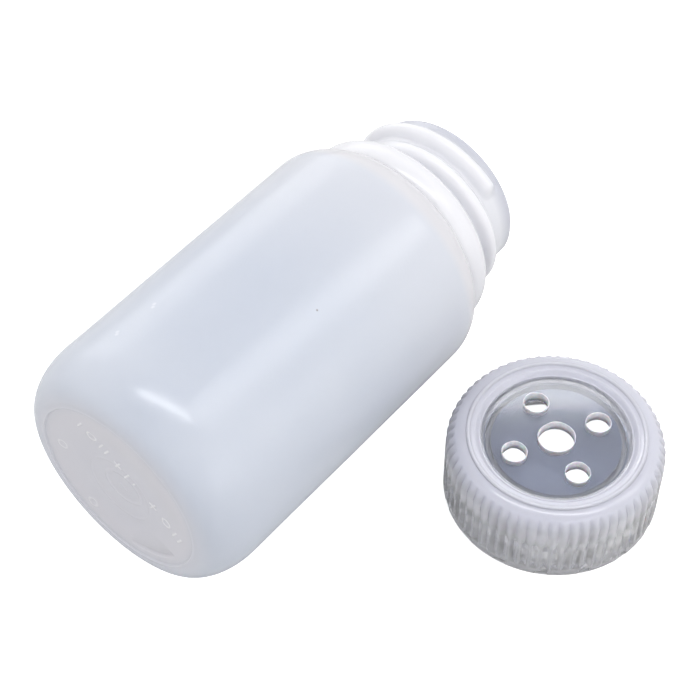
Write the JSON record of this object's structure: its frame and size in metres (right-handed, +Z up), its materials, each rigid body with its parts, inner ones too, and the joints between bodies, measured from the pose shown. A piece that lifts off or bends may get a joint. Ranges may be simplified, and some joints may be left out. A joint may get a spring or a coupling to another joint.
{
  "type": "reagent bottle",
  "caption": "Wide-mouth translucent plastic reagent bottle lying on its side, with its ribbed screw cap, drilled with round holes, standing beside it.",
  "frame": {"origin": "middle of the footprint of the lying bottle and its cap, on the bench", "axes": "+X along the bottle's axis towards its mouth, +Y from the cap towards the bottle, +Z up, which is also the cap's axis"},
  "size_m": [0.0976, 0.0978, 0.051],
  "materials": {
    "bottle_plastic": "milky blue-white natural HDPE, satin gloss, moulded",
    "cap_plastic": "translucent grey-white natural PP, gloss on the sunk disc, moulded"
  },
  "bodies": {
    "bottle": {"bottle": "bottle_plastic"},
    "screw_cap": {"screw_cap": "cap_plastic"}
  },
  "joints": [
    {"name": "cap_lift", "type": "slide", "parent": "bottle", "child": "screw_cap", "axis": [0, 0, 1], "range_m": [0, 0.06]}
  ]
}
